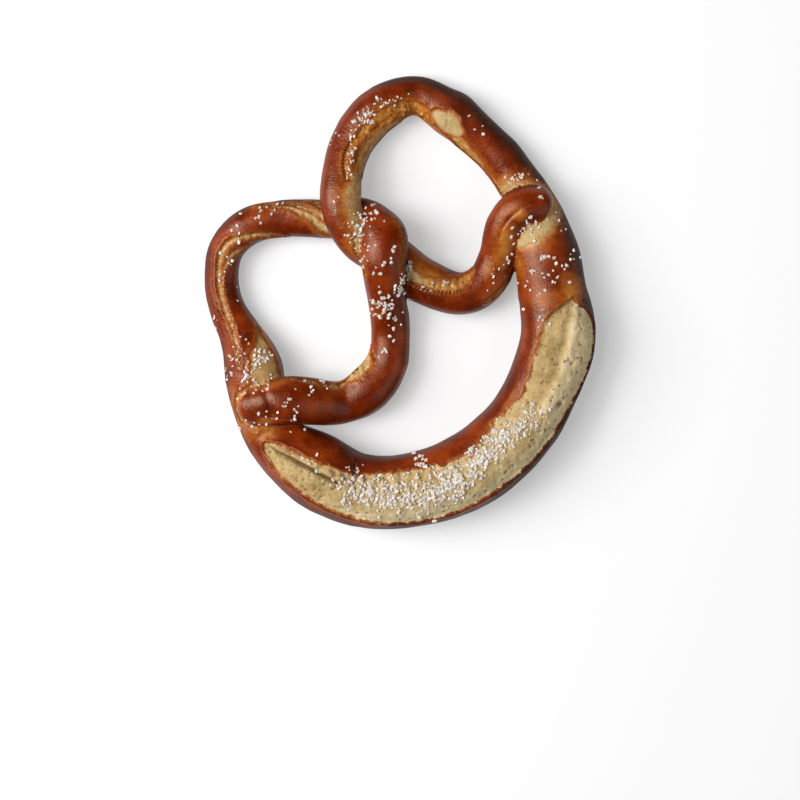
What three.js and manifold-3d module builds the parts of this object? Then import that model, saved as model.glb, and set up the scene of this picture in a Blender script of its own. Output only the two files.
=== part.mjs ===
// Soft pretzel: one long rope of dough with a thick belly and thin arms, crossed twice,
// its two ends pressed onto the belly, baked on a flat tray and strewn with coarse salt.
// Millimetres, +Z up. The flat baked underside lies on z = 0, and the pretzel is spread out
// in X and Y about the middle of its outline.

import * as THREE from "three";
import Module from "manifold-3d";
import { mergeVertices } from "three/addons/utils/BufferGeometryUtils.js";

// Driving dimensions

const FLATNESS = 0.86;          // height of the rope over its width
const SEAT = 0.88;              // share of its half height that the rope stands above the tray
const SAG = 0.6;                // share of its lift by which raised dough sags back to the tray
const RING_STEP = 9;            // distance between two sections of the rope
const SIDES = 20;               // corners of one section
const UNEVENNESS = 0.35;        // swell and hollow left by rolling the dough by hand
const SWELL_LENGTH = 46;        // from one hand-rolled swell to the next
const TIP_REACH = 9;            // how far a rounded end stands beyond its last section
const TIP_STEPS = 3;            // sections that round it off

const SPLIT_INNER = 116;        // degrees round the section from its outer side: upper lip
const SPLIT_OUTER = 16;         // degrees: lower lip
const SPLIT_DEPTH = 1.8;        // how far the bare crumb lies below the crust's lips
const LIP_HEIGHT = 1.2;         // how far the torn crust curls up beside the split
const VALLEY_DEPTH = 2.8;       // the two long furrows at the ends of the split
const LEFT_VALLEY_ANGLE = 80;   // degrees round the section
const RIGHT_VALLEY_ANGLE = 66;

const TRAY_SIZE = 400;          // wider than the pretzel
const TRAY_DEPTH = 40;

const GRAIN_SMALL = 1.9;        // coarse salt, least and greatest side
const GRAIN_LARGE = 3.1;
const GRAIN_SUNK = 0.14;        // how far a grain's middle lies below the crust, in sides
const GRAIN_CHIPPED = 0.78;     // least share of a corner left on a chipped grain
const STEEPEST_SALTED = 0.35;   // salt slides off a crust whose normal points up less than this
const SALT_SEED = 20;

// The rope's centre line on the tray: x, y, width of the rope, and lift above its seat.
// It starts at the end that lies on the belly's left shoulder.

const LEFT_ARM = [
  [-91.5, -62, 24, 15],
  [-68, -58, 30, 13],
  [-35.5, -61, 27, 1],
  [-19, -53, 29.5, 0],
  [-7, -36.5, 26, 0],
  [-5, -16, 23.5, 1],
  [-7, 3.5, 24, 8],
  [-9, 26.5, 27, 17],
  [-10.5, 43.5, 29, 13],
  [-22, 53, 27.5, 3],
  [-40, 54, 23, 0],
  [-74, 54, 22, 0],
  [-94.5, 48.5, 23, 0],
  [-107, 35, 21.5, 0],
  [-110.5, 16, 21.5, 0],
  [-107, -1.5, 22.5, 0],
];
const BELLY = [
  [-99, -18.5, 26, 0],
  [-90.5, -40, 37, 0],
  [-87.5, -63, 33.5, 0],
  [-79, -83, 34.5, 0],
  [-53, -102, 48, 0],
  [-27.5, -115, 46, 0],
  [3.5, -116.5, 47, 0],
  [40, -105.5, 48.5, 0],
  [68.5, -85, 46.5, 0],
  [88, -55.5, 45.5, 0],
  [98.5, -20, 46, 0],
  [96, 8.5, 43, 0],
  [90, 40, 39, 0],
  [83.5, 61, 31, 0],
  [65, 88.5, 25.5, 0],
];
const RIGHT_ARM = [
  [46, 107.5, 26.5, 0],
  [30.5, 119, 27.5, 0],
  [11.5, 129.5, 23.5, 0],
  [-9.5, 122.5, 28, 0],
  [-27.5, 103, 26.5, 2],
  [-35, 84, 23.5, 9],
  [-35.5, 62, 23.5, 15],
  [-25.5, 41.5, 24, 12],
  [-6.5, 31, 29, 0],
  [17, 14.5, 28.5, 0],
  [40, 7.5, 26.5, 0],
  [55, 15, 26, 0],
  [62, 31, 24, 3],
  [66, 51, 23.5, 11],
  [75.5, 61.5, 24, 14],
  [87, 63, 23, 13],
];

// Where the salt fell: x, y, reach of the patch, number of grains

const SALT_PATCHES = [
  // the bare crumb of the belly, most thickly along its middle
  [-30, -116.5, 12, 8], [-8, -118.5, 12, 8], [14, -116.5, 12, 8], [34, -109.5, 12, 8],
  [51, -100.5, 11, 8], [65, -88.5, 10, 8], [77, -77.5, 9, 7],
  // the crust of the belly and its two shoulders
  [15, -98, 5, 4], [-84, -83, 6, 4], [-101.5, -46, 7, 4], [-89, -43.5, 8, 6],
  [84, -13, 10, 3], [85, 13, 5, 3], [101.5, 22, 7, 3], [76, 47.5, 6, 4],
  // the arm that ends on the left shoulder
  [-86, -55, 6, 4], [-55.5, -67.5, 9, 5], [-17.5, -43, 10, 4], [2, -34, 6, 2],
  [-7, -7, 9, 7], [5.5, 10.5, 6, 4], [-20, 45, 8, 6], [-12, 60, 4, 1],
  // the left loop
  [-80.5, 54.5, 7, 4], [-105.5, 22, 7, 3], [-106.5, -5, 6, 2],
  // the arm that ends on the right shoulder
  [48.5, 111.5, 5, 2], [-1.5, 129.5, 4, 2], [-12, 122, 8, 6], [-19.5, 110.5, 6, 3],
  [-29, 87, 6, 4], [-37, 65, 5, 2], [22.5, 3.5, 6, 3], [63.5, 13, 6, 3],
  [90, 62.5, 5, 3], [70, 79, 5, 3],
];

// The rope

const stations = [...LEFT_ARM, ...BELLY, ...RIGHT_ARM];
const route = new THREE.CatmullRomCurve3(
  stations.map(([x, y]) => new THREE.Vector3(x, y, 0)), false, "centripetal");
const girth = new THREE.SplineCurve(
  stations.map(([, , width, lift]) => new THREE.Vector2(width, lift)));

const degrees = (angle) => THREE.MathUtils.radToDeg(angle);
const bump = (value, middle, reach) => Math.exp(-(((value - middle) / reach) ** 2));
const rise = THREE.MathUtils.smoothstep;
const stationShare = (index) => index / (stations.length - 1);

const BELLY_START = stationShare(LEFT_ARM.length);
const RIGHT_START = stationShare(LEFT_ARM.length + BELLY.length);
const SPLIT_START = stationShare(LEFT_ARM.length + 3.3);
const SPLIT_END = stationShare(LEFT_ARM.length + 11.2);
const SPLIT_FADE = stationShare(0.7);

// A point of the centre line, with the rope's half width there and its height above and below.
function middleOfRope(share) {
  const girthHere = girth.getPoint(share);
  const halfWidth = girthHere.x / 2;
  const lift = Math.max(girthHere.y, 0);
  const halfHeight = halfWidth * FLATNESS;
  const place = route.getPoint(share);
  place.z = lift + halfHeight * SEAT;
  return { place, halfWidth, above: halfHeight, below: halfHeight + SAG * lift };
}

// How far the crust stands out from the plain section, by its place along and round the rope.
function relief(share, distance, angle) {
  const swell = Math.sin((distance / SWELL_LENGTH) * 2 * Math.PI + 3 * Math.cos(angle));
  const open = rise(share, SPLIT_START, SPLIT_START + SPLIT_FADE)
    * (1 - rise(share, SPLIT_END - SPLIT_FADE, SPLIT_END));
  if (open === 0) return UNEVENNESS * swell;
  const around = degrees(angle);
  const bare = rise(around, SPLIT_OUTER - 8, SPLIT_OUTER + 8)
    * (1 - rise(around, SPLIT_INNER - 10, SPLIT_INNER));
  const lip = bump(around, SPLIT_INNER + 12, 14);
  const along = (share - SPLIT_START) / (SPLIT_END - SPLIT_START);
  const leftValley = bump(around, LEFT_VALLEY_ANGLE, 14) * bump(along, 0.08, 0.14);
  const rightValley = bump(around, RIGHT_VALLEY_ANGLE, 15) * bump(along, 0.83, 0.16);
  const furrow = VALLEY_DEPTH * (leftValley + rightValley);
  return UNEVENNESS * swell + open * (LIP_HEIGHT * lip - SPLIT_DEPTH * bare - furrow);
}

// One section of the rope, square to its centre line. Angle 0 is the side that faces away
// from the middle of the pretzel along the belly, 90 degrees is the top.
function section(share, distance) {
  const { place, halfWidth, above, below } = middleOfRope(share);
  const step = 0.0005;
  const ahead = middleOfRope(Math.min(share + step, 1)).place;
  const behind = middleOfRope(Math.max(share - step, 0)).place;
  const along = ahead.sub(behind).normalize();
  const outward = new THREE.Vector3(along.y, -along.x, 0).normalize();
  const upward = new THREE.Vector3().crossVectors(outward, along).normalize();
  const corners = [];
  for (let i = 0; i < SIDES; i += 1) {
    const angle = (i / SIDES) * 2 * Math.PI;
    const out = relief(share, distance, angle);
    const height = Math.sin(angle) > 0 ? above : below;
    corners.push(place.clone()
      .addScaledVector(outward, Math.cos(angle) * (halfWidth + out))
      .addScaledVector(upward, Math.sin(angle) * (height + out)));
  }
  return { middle: place, along, corners };
}

const ropeLength = route.getLength();
const ringCount = Math.round(ropeLength / RING_STEP);
const ringShares = [];
for (let i = 0; i <= ringCount; i += 1) ringShares.push(route.getUtoTmapping(i / ringCount));
const sections = ringShares.map((share, i) => section(share, (i / ringCount) * ropeLength));

// The rounded end beyond an end section: ever smaller sections, and the point of the end.
function roundedEnd(end, direction) {
  const rows = [];
  for (let i = 1; i < TIP_STEPS; i += 1) {
    const angle = (i / TIP_STEPS) * (Math.PI / 2);
    rows.push(end.corners.map((corner) => corner.clone()
      .lerp(end.middle, 1 - Math.cos(angle))
      .addScaledVector(end.along, direction * TIP_REACH * Math.sin(angle))));
  }
  const point = end.middle.clone().addScaledVector(end.along, direction * TIP_REACH);
  return { rows, point };
}

// A closed solid from sections in a row, with a point in the middle of both ends.
function skin(rows, firstPoint, lastPoint) {
  const vertices = [...rows.flat(), firstPoint, lastPoint];
  const first = vertices.length - 2;
  const last = vertices.length - 1;
  const triangles = [];
  for (let row = 0; row < rows.length - 1; row += 1) {
    for (let i = 0; i < SIDES; i += 1) {
      const next = (i + 1) % SIDES;
      const [a, b] = [row * SIDES + i, row * SIDES + next];
      const [c, d] = [a + SIDES, b + SIDES];
      triangles.push(a, c, b, b, c, d);
    }
  }
  const lastRow = (rows.length - 1) * SIDES;
  for (let i = 0; i < SIDES; i += 1) {
    const next = (i + 1) % SIDES;
    triangles.push(first, i, next);
    triangles.push(last, lastRow + next, lastRow + i);
  }
  return solidOf(vertices, triangles);
}

// Joining and cutting

const wasm = await Module();
wasm.setup();

function solidOf(vertices, triangles) {
  const vertProperties = new Float32Array(vertices.flatMap((vertex) => vertex.toArray()));
  const triVerts = new Uint32Array(triangles);
  return new wasm.Manifold(new wasm.Mesh({ numProp: 3, vertProperties, triVerts }));
}

function solidOfGeometry(geometry) {
  const bare = geometry.clone();
  bare.deleteAttribute("normal");
  bare.deleteAttribute("uv");
  const merged = mergeVertices(bare);
  return new wasm.Manifold(new wasm.Mesh({
    numProp: 3,
    vertProperties: merged.attributes.position.array,
    triVerts: new Uint32Array(merged.index.array),
  }));
}

function geometryOf(solid) {
  const mesh = solid.getMesh();
  const geometry = new THREE.BufferGeometry();
  geometry.setAttribute("position", new THREE.BufferAttribute(mesh.vertProperties, 3));
  geometry.setIndex(new THREE.BufferAttribute(mesh.triVerts, 1));
  geometry.computeVertexNormals();
  return geometry;
}

// The rope in three lengths, none of which meets itself, joined to one body of dough.
function dough() {
  const bellyRing = ringShares.findIndex((share) => share >= BELLY_START);
  const rightRing = ringShares.findIndex((share) => share >= RIGHT_START);
  const leftTip = roundedEnd(sections[0], -1);
  const rightTip = roundedEnd(sections.at(-1), 1);
  const rows = sections.map((one) => one.corners);
  const bellyCut = sections[bellyRing].middle;
  const rightCut = sections[rightRing].middle;
  const left = skin(
    [...leftTip.rows.reverse(), ...rows.slice(0, bellyRing + 1)], leftTip.point, bellyCut);
  const belly = skin(rows.slice(bellyRing, rightRing + 1), bellyCut, rightCut);
  const right = skin([...rows.slice(rightRing), ...rightTip.rows], rightCut, rightTip.point);
  return left.add(belly).add(right);
}

// The tray that the dough rests on and takes its flat underside from.
function tray() {
  const slab = new THREE.BoxGeometry(TRAY_SIZE, TRAY_SIZE, TRAY_DEPTH);
  slab.translate(0, 0, -TRAY_DEPTH / 2);
  return solidOfGeometry(slab);
}

// Salt

let randomState = SALT_SEED;
function random() {
  randomState = (randomState * 1664525 + 1013904223) % 4294967296;
  return randomState / 4294967296;
}
const between = (low, high) => low + (high - low) * random();

// A chipped block of salt: a box with its corners pushed about, turned at random.
function grain(place, outward) {
  const side = between(GRAIN_SMALL, GRAIN_LARGE);
  const block = new THREE.BoxGeometry(side, side * between(0.6, 1), side * between(0.6, 0.95));
  block.deleteAttribute("normal");
  block.deleteAttribute("uv");
  const chipped = mergeVertices(block);
  const position = chipped.attributes.position;
  for (let i = 0; i < position.count; i += 1) {
    const left = between(GRAIN_CHIPPED, 1.08);
    position.setXYZ(i, left * position.getX(i), left * position.getY(i), left * position.getZ(i));
  }
  chipped.rotateX(between(0, 2 * Math.PI));
  chipped.rotateY(between(0, 2 * Math.PI));
  chipped.rotateZ(between(0, 2 * Math.PI));
  const centre = place.clone().addScaledVector(outward, -GRAIN_SUNK * side);
  chipped.translate(centre.x, centre.y, centre.z);
  return solidOfGeometry(chipped);
}

// Grains dropped straight down onto the dough, patch by patch.
function salt(crust) {
  const target = new THREE.Mesh(geometryOf(crust));
  const ray = new THREE.Raycaster();
  const down = new THREE.Vector3(0, 0, -1);
  const grains = [];
  for (const [x, y, reach, count] of SALT_PATCHES) {
    for (let i = 0; i < count; i += 1) {
      const turn = between(0, 2 * Math.PI);
      const distance = reach * Math.sqrt(random());
      const above = new THREE.Vector3(
        x + distance * Math.cos(turn), y + distance * Math.sin(turn), 100);
      ray.set(above, down);
      const [hit] = ray.intersectObject(target);
      if (hit && hit.face.normal.z > STEEPEST_SALTED) grains.push(grain(hit.point, hit.face.normal));
    }
  }
  return grains;
}

// The pretzel

const plain = dough().subtract(tray());
const salted = salt(plain).reduce((whole, one) => whole.add(one), plain);

const crust = new THREE.MeshStandardMaterial({
  name: "crust",
  color: 0x7a3212,
  roughness: 0.42,
  metalness: 0,
});
const pretzel = new THREE.Mesh(geometryOf(salted), crust);
pretzel.name = "pretzel";

const part = new THREE.Group();
part.name = "soft_pretzel";
part.add(pretzel);

export default part;
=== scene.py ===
# %% [markdown]
# # A large soft pretzel
# A soft pretzel is one long rope of dough. Its middle is left thick, which bakes into the
# belly, and its thin ends are crossed twice and pressed onto the belly. A dip in lye gives the
# smooth brown crust, and the belly tears open in the oven, so that the pale crumb shows there.
# This lesson rolls the rope from a flat sheet, joins it at its crossings, tears its crust
# open, finishes it, and strews it with salt.

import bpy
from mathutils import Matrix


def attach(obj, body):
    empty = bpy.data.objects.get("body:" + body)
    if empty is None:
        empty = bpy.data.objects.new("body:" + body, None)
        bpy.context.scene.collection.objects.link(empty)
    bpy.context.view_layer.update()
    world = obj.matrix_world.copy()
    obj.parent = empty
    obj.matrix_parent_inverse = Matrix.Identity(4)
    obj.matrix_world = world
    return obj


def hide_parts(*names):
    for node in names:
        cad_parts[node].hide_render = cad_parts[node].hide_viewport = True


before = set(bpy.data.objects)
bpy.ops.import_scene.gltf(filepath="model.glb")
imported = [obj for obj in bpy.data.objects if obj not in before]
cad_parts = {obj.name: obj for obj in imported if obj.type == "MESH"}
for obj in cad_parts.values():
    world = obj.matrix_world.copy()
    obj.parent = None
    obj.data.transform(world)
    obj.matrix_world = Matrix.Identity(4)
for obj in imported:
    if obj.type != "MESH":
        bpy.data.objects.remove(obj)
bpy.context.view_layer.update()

# %% [markdown]
# Blender counts in metres and this lesson in millimetres, so MM turns one into the other. An
# operator acts on all that is selected, so nothing is, to start with.

# %% Tools and units
import itertools
import math
import random

import bpy
import numpy as np
from mathutils import Vector
from mathutils.bvhtree import BVHTree
from mathutils.kdtree import KDTree

MM = 0.001

bpy.ops.object.select_all(action="DESELECT")

# %% [markdown]
# ## The rope's route
# The baker lays the rope on a flat tray. Its route is a smooth curve through listed
# places, each with the rope's width there and how far the rope is lifted where it crosses
# itself. The numbers are millimetres: across, up, width, lift. They start at the end that
# lies on the left shoulder of the belly.

# %% Places along the rope
FLATNESS = 0.86  # height of the rope over its width
SEAT = 0.88  # share of its half height that the rope stands above the tray
SAG = 0.6  # share of its lift by which raised dough sags back to the tray
TIP_REACH = 9.0  # length of the rounded ends

LEFT_ARM = [
    (-91.5, -62, 24, 15), (-68, -58, 30, 13), (-35.5, -61, 27, 1), (-19, -53, 29.5, 0),
    (-7, -36.5, 26, 0), (-5, -16, 23.5, 1), (-7, 3.5, 24, 8), (-9, 26.5, 27, 17),
    (-10.5, 43.5, 29, 13), (-22, 53, 27.5, 3), (-40, 54, 23, 0), (-74, 54, 22, 0),
    (-94.5, 48.5, 23, 0), (-107, 35, 21.5, 0), (-110.5, 16, 21.5, 0), (-107, -1.5, 22.5, 0),
]
BELLY = [
    (-99, -18.5, 26, 0), (-90.5, -40, 37, 0), (-87.5, -63, 33.5, 0), (-79, -83, 34.5, 0),
    (-53, -102, 48, 0), (-27.5, -115, 46, 0), (3.5, -116.5, 47, 0), (40, -105.5, 48.5, 0),
    (68.5, -85, 46.5, 0), (88, -55.5, 45.5, 0), (98.5, -20, 46, 0), (96, 8.5, 43, 0),
    (90, 40, 39, 0), (83.5, 61, 31, 0), (65, 88.5, 25.5, 0),
]
RIGHT_ARM = [
    (46, 107.5, 26.5, 0), (30.5, 119, 27.5, 0), (11.5, 129.5, 23.5, 0), (-9.5, 122.5, 28, 0),
    (-27.5, 103, 26.5, 2), (-35, 84, 23.5, 9), (-35.5, 62, 23.5, 15), (-25.5, 41.5, 24, 12),
    (-6.5, 31, 29, 0), (17, 14.5, 28.5, 0), (40, 7.5, 26.5, 0), (55, 15, 26, 0),
    (62, 31, 24, 3), (66, 51, 23.5, 11), (75.5, 61.5, 24, 14), (87, 63, 23, 13),
]
stations = np.array(LEFT_ARM + BELLY + RIGHT_ARM, dtype=float)
LAST = len(stations) - 1
print("the rope has", len(stations), "places")


# %% [markdown]
# A centripetal Catmull-Rom curve runs through every place and never loops between two of
# them. The width and the lift change more gently, so a plain Catmull-Rom curve does for them.
# A point of the rope is named by its *share*: 3.5 is halfway from place 3 to place 4.

# %% The curve through the places
def four_neighbours(values, share):
    first = np.clip(np.floor(share).astype(int), 0, LAST - 1)
    padded = np.vstack([2 * values[0] - values[1], values, 2 * values[-1] - values[-2]])
    return (share - first)[:, None], [padded[first + k] for k in range(4)]


def lengths(vectors):
    return np.linalg.norm(vectors, axis=1, keepdims=True)


def centre_line(share):
    part, (p0, p1, p2, p3) = four_neighbours(stations[:, :2], share)
    t1 = np.sqrt(lengths(p1 - p0))
    t2 = t1 + np.sqrt(lengths(p2 - p1))
    t3 = t2 + np.sqrt(lengths(p3 - p2))
    t = t1 + (t2 - t1) * part
    a1 = (t1 - t) / t1 * p0 + t / t1 * p1
    a2 = (t2 - t) / (t2 - t1) * p1 + (t - t1) / (t2 - t1) * p2
    a3 = (t3 - t) / (t3 - t2) * p2 + (t - t2) / (t3 - t2) * p3
    b1 = (t2 - t) / t2 * a1 + t / t2 * a2
    b2 = (t3 - t) / (t3 - t1) * a2 + (t - t1) / (t3 - t1) * a3
    return (t2 - t) / (t2 - t1) * b1 + (t - t1) / (t2 - t1) * b2


def width_and_lift(share):
    t, (p0, p1, p2, p3) = four_neighbours(stations[:, 2:], share)
    start, end = (p2 - p0) / 2, (p3 - p1) / 2
    value = ((2 * p1 - 2 * p2 + start + end) * t**3
             + (3 * p2 - 3 * p1 - 2 * start - end) * t**2 + start * t + p1)
    return value[:, 0], np.maximum(value[:, 1], 0)


# %% [markdown]
# Every section of the rope stands square to the curve. Three directions describe it: *along*
# the rope, *outward* level with the tray, and *upward*. The belly's outward side faces away
# from the middle of the pretzel.

# %% Sections of the rope
class Sections:
    """Middles, directions and half sizes of the rope's sections at some shares."""

    def __init__(self, share):
        step = 0.002
        width, lift = width_and_lift(share)
        self.half_width = width / 2
        self.above = self.half_width * FLATNESS
        self.below = self.above + SAG * lift
        self.middle = self.place(share)
        along = self.place(share + step) - self.place(share - step)
        self.along = along / lengths(along)
        outward = np.column_stack([self.along[:, 1], -self.along[:, 0], np.zeros(len(share))])
        self.outward = outward / lengths(outward)
        self.upward = np.cross(self.outward, self.along)

    @staticmethod
    def place(share):
        inside = np.clip(share, 0, LAST)
        width, lift = width_and_lift(inside)
        return np.column_stack([centre_line(inside), lift + width / 2 * FLATNESS * SEAT])


RING_STEP = 1.6  # millimetres of rope from one section to the next
CURVE_SAMPLES = 4000  # places at which the rope's length is measured
fine_share = np.linspace(0, LAST, CURVE_SAMPLES)
fine_steps = lengths(np.diff(Sections.place(fine_share), axis=0))
fine_length = np.concatenate([[0], np.cumsum(fine_steps)])
rope_length = fine_length[-1]
ring_count = round(rope_length / RING_STEP)
rings = Sections(np.interp(np.linspace(0, rope_length, ring_count), fine_length, fine_share))
print(f"the rope is {rope_length:.0f} mm long, laid in {ring_count} sections")

# %% [markdown]
# ## Rolling the dough
# A rope of dough could be a bevelled curve, but a curve can't be pressed flat underneath or
# sag where it is lifted. So a flat grid is added, as long as the rope has sections, and each
# of its rows is rolled up round one section. Its two ends shrink to a point by a quarter
# circle, which rounds them.

# %% Rolling a sheet into a rope
SIDES = 48  # faces round the rope
WELD = 0.02  # points nearer than this become one


def read_points(mesh):
    points = np.empty(len(mesh.vertices) * 3, dtype=np.float32)
    mesh.vertices.foreach_get("co", points)
    return points.reshape(-1, 3).astype(float)


def press_on_tray(points):
    points[:, 2] = np.maximum(points[:, 2], 0)
    return points


def write_points(mesh, points):
    mesh.vertices.foreach_set("co", press_on_tray(points).astype(np.float32).ravel())
    mesh.update()


def rope_point(row, angle, shrink):
    height = np.where(np.sin(angle) > 0, rings.above[row], rings.below[row])
    across = np.cos(angle) * rings.half_width[row] * shrink
    up = np.sin(angle) * height * shrink
    return (rings.middle[row] + rings.outward[row] * across[:, None]
            + rings.upward[row] * up[:, None])


TIP_ROWS = round(TIP_REACH / RING_STEP)
row_count = ring_count + 2 * TIP_ROWS
bpy.ops.mesh.primitive_grid_add(x_subdivisions=row_count - 1, y_subdivisions=SIDES, size=1)
pretzel = bpy.context.object
pretzel.name = pretzel.data.name = "soft_pretzel"
flat = read_points(pretzel.data)
row_number = np.rint((flat[:, 0] + 0.5) * (row_count - 1)).astype(int) - TIP_ROWS
angle = (flat[:, 1] + 0.5) * 2 * math.pi
row = np.clip(row_number, 0, ring_count - 1)
beyond = (row_number - row) / TIP_ROWS
quarter = np.abs(beyond) * math.pi / 2
rolled = rope_point(row, angle, np.cos(quarter))
rolled += rings.along[row] * (np.sign(beyond) * np.sin(quarter) * TIP_REACH)[:, None]
write_points(pretzel.data, rolled * MM)

bpy.ops.object.mode_set(mode="EDIT")
bpy.ops.mesh.select_all(action="SELECT")
bpy.ops.mesh.remove_doubles(threshold=WELD * MM)
bpy.ops.mesh.normals_make_consistent()
bpy.ops.object.mode_set(mode="OBJECT")
print("rolled rope:", len(pretzel.data.vertices), "points")

# %% [markdown]
# ## Joining the crossings
# In the oven the dough grows together wherever it touches. A voxel remesh does the same: it
# keeps only the outside of all that overlaps. Its voxels are finer than a millimetre, because
# the tears and folds are cut into this skin later. Rounds of smoothing fill the sharp
# crease between two strands, as rising dough does.

# %% Growing together
VOXEL = 0.8
SMOOTH_ROUNDS = 16


def apply_modifier(piece, kind, **settings):
    bpy.context.view_layer.objects.active = piece
    modifier = piece.modifiers.new(kind.lower(), kind)
    for key, value in settings.items():
        setattr(modifier, key, value)
    bpy.ops.object.modifier_apply(modifier=modifier.name)


apply_modifier(pretzel, "REMESH", mode="VOXEL", voxel_size=VOXEL * MM)
apply_modifier(pretzel, "SMOOTH", factor=0.5, iterations=SMOOTH_ROUNDS)
write_points(pretzel.data, read_points(pretzel.data))
print("joined:", len(pretzel.data.polygons), "faces")

# %% [markdown]
# ## Places on the crust
# Tears, creases and salt follow the rope, so each point of the skin is given its own place
# on the rope: the *share* along it, and the *angle* round it. Angle 0 is the outward side
# and 90 degrees is the top. The nearest section is found with a tree of the sections'
# points, and the place is then measured within that section.

# %% Finding each point's place on the rope
RING_SIDES = 40
MEAN_RADIUS = 0.93  # of a section, over its half width


def ring_tree():
    angles = np.arange(RING_SIDES) / RING_SIDES * 2 * math.pi
    tree = KDTree(ring_count * RING_SIDES)
    for number in range(ring_count):
        points = press_on_tray(rope_point(np.full(RING_SIDES, number), angles, 1.0))
        for side, point in enumerate(points):
            tree.insert(point, number * RING_SIDES + side)
    tree.balance()
    return tree


def places_on_rope(points, tree):
    nearest = np.array([tree.find(point)[1] for point in points]) // RING_SIDES
    offset = points - rings.middle[nearest]
    ahead, across, up = (np.einsum("ij,ij->i", offset, direction[nearest])
                         for direction in (rings.along, rings.outward, rings.upward))
    length = nearest * rope_length / (ring_count - 1) + ahead
    height = np.where(up > 0, rings.above[nearest], rings.below[nearest])
    around = np.degrees(np.arctan2(up / height, across / rings.half_width[nearest])) % 360
    radius = rings.half_width[nearest] * MEAN_RADIUS
    return length, around, radius


def length_at(share):
    return np.interp(share, fine_share, fine_length)


tree = ring_tree()
skin = read_points(pretzel.data) / MM
length, around, radius = places_on_rope(skin, tree)
share = np.interp(length, fine_length, fine_share)
facing_up, facing_out = np.sin(np.radians(around)), np.cos(np.radians(around))
print(f"places run from {length.min():.0f} to {length.max():.0f} mm along the rope")

# %% [markdown]
# Wavy surfaces come from value noise: random numbers on a coarse grid in space, blended
# smoothly between. Its seed is fixed, so the pretzel is the same every time. Waves of
# several sizes are added up.

# %% Smooth noise
NOISE_CELLS = 64  # of the grid each way


def smooth_noise(size, seed):
    source = np.random.default_rng(seed)
    grid = source.uniform(-1, 1, (NOISE_CELLS,) * 3)
    cell = skin / size
    low = np.floor(cell).astype(int)
    part = cell - low
    part = part * part * (3 - 2 * part)
    total = np.zeros(len(skin))
    for corner in itertools.product((0, 1), repeat=3):
        weight = np.prod(np.where(corner, part, 1 - part), axis=1)
        index = (low + corner) % NOISE_CELLS
        total += weight * grid[index[:, 0], index[:, 1], index[:, 2]]
    return total


def waves(*layers):
    """Unevenness of the skin from layers of noise, each a height, a size and a seed."""
    return sum(height * smooth_noise(size, seed) for height, size, seed in layers)


# %% [markdown]
# ## Torn crust
# The belly splits along its upper side, and the thin crust of the arms tears where they
# bend. The belly's split is drawn as two edges, each an angle for some shares. Every other
# tear is a stroke: places of share and angle with the half width of the bare dough there.
# For each point of the skin the distance inside the nearest tear is kept in millimetres,
# less than nought outside.

# %% The belly's split
SPLIT_UPPER = [
    (19, 78), (19.15, 93), (19.4, 103), (19.9, 108), (20.3, 114), (20.76, 120), (20.87, 112),
    (20.98, 119), (21.1, 125), (21.6, 132), (22.4, 129), (22.9, 122), (23.4, 119), (23.7, 128),
    (24.1, 134), (24.6, 131), (25, 122), (25.4, 124), (25.9, 124), (26.3, 118), (26.5, 108),
    (26.68, 88), (26.86, 62),
]
SPLIT_LOWER = [
    (19, 74), (19.15, 64), (19.6, 55), (20.3, 52), (21, 47), (21.5, 41), (22.2, 36), (23.1, 42),
    (24, 40), (24.6, 36), (25.1, 32), (25.5, 23), (26, 15), (26.3, 20), (26.5, 33), (26.68, 52),
    (26.86, 60),
]


def angle_on(line):
    return np.interp(share, *zip(*line))


def rise(value, start, end):
    part = np.clip((value - start) / (end - start), 0, 1)
    return part * part * (3 - 2 * part)


def within(start, end, fade=0.3):
    """Whether a point's share lies from start to end, fading out over some shares."""
    return rise(share, start - fade, start) * (1 - rise(share, end, end + fade))


degrees_to_mm = math.pi / 180 * radius
puffs = waves((1.5, 4.6, 17), (0.9, 2.2, 19))
puffs *= within(21.2, 26.2) * (1 + 0.5 * within(23.3, 26))
split = np.minimum((angle_on(SPLIT_UPPER) - around) * degrees_to_mm + puffs,
                   (around - angle_on(SPLIT_LOWER)) * degrees_to_mm)
split_start, split_end = (length_at(SPLIT_UPPER[end][0]) for end in (0, -1))
split = np.minimum(split, np.minimum(length - split_start, split_end - length))
print(f"{np.mean(split > 0):.0%} of the skin is bare crumb in the split")

# %% [markdown]
# A stroke's reach says how far inside it a point lies: the half width there, less the distance
# to the stroke's line. Teeth along the line make its rim jagged, at slightly uneven steps.

# %% Strokes on the crust
TOOTH = 2.2  # millimetres from tooth to tooth
TOOTH_JITTER = 0.9  # how far the teeth wander, over their step
FAR_OUTSIDE = -99.0
TINY = 1e-9  # so that nothing is divided by nought
jitter = waves((1, 9, 16))


def turn(angles):
    return (angles + 180) % 360 - 180


def stroke_reach(stroke, teeth=0):
    """Half width of the stroke minus the distance to it, at every point of the skin."""
    best = np.full(len(length), FAR_OUTSIDE)
    walked = 0.0
    for (share_a, angle_a, wide_a), (share_b, angle_b, wide_b) in zip(stroke, stroke[1:]):
        start = length_at(share_a)
        run_x = length_at(share_b) - start
        run_y = (angle_b - angle_a) * degrees_to_mm
        x = length - start
        y = turn(around - angle_a) * degrees_to_mm
        t = np.clip((x * run_x + y * run_y) / (run_x**2 + run_y**2 + TINY), 0, 1)
        away = np.hypot(x - t * run_x, y - t * run_y)
        run = np.hypot(run_x, run_y)
        tooth = np.abs((walked + t * run) / TOOTH + TOOTH_JITTER * jitter) % 1
        best = np.maximum(best, wide_a + (wide_b - wide_a) * t - away
                          + teeth * (np.abs(2 * tooth - 1) - 0.5))
        walked += float(np.median(run))
    return best


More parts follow.
